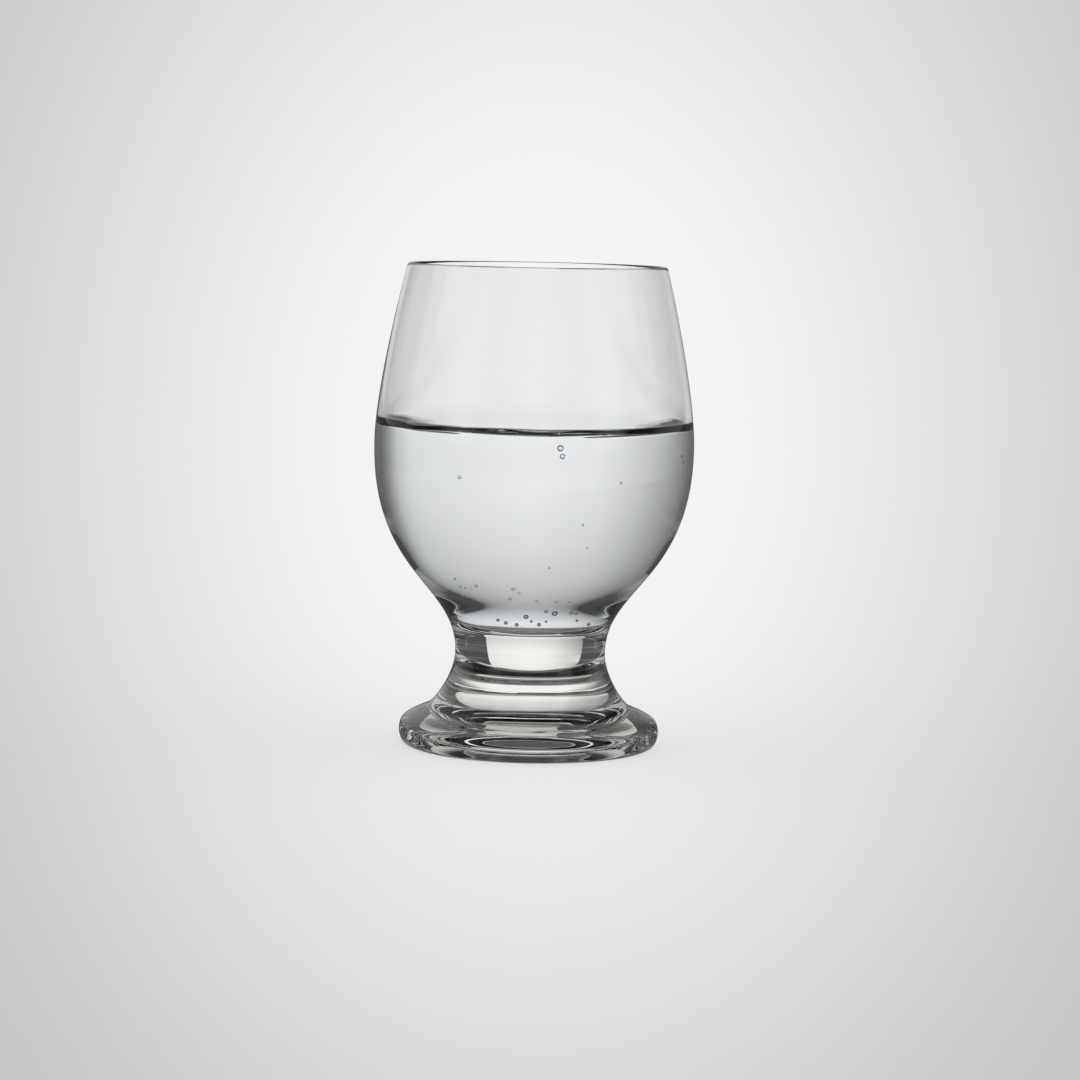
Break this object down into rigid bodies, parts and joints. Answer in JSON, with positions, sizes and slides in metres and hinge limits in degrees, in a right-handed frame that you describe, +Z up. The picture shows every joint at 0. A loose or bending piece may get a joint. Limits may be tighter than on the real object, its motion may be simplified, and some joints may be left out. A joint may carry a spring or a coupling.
{
  "type": "water goblet",
  "caption": "Short-stemmed water goblet: egg-shaped blown bowl, solid waisted stem and flared foot with a domed recess under it, part filled with water.",
  "frame": {"origin": "centre of the standing ring, on the surface that the glass stands on", "axes": "+Z up along the glass's axis; the glass is round, so +X and +Y are free"},
  "size_m": [0.0764, 0.0764, 0.115],
  "materials": {
    "clear_glass": "polished",
    "water": "polished"
  },
  "bodies": {
    "root": {"bowl": "clear_glass", "stem": "clear_glass", "foot": "clear_glass", "water": "water"}
  },
  "joints": []
}
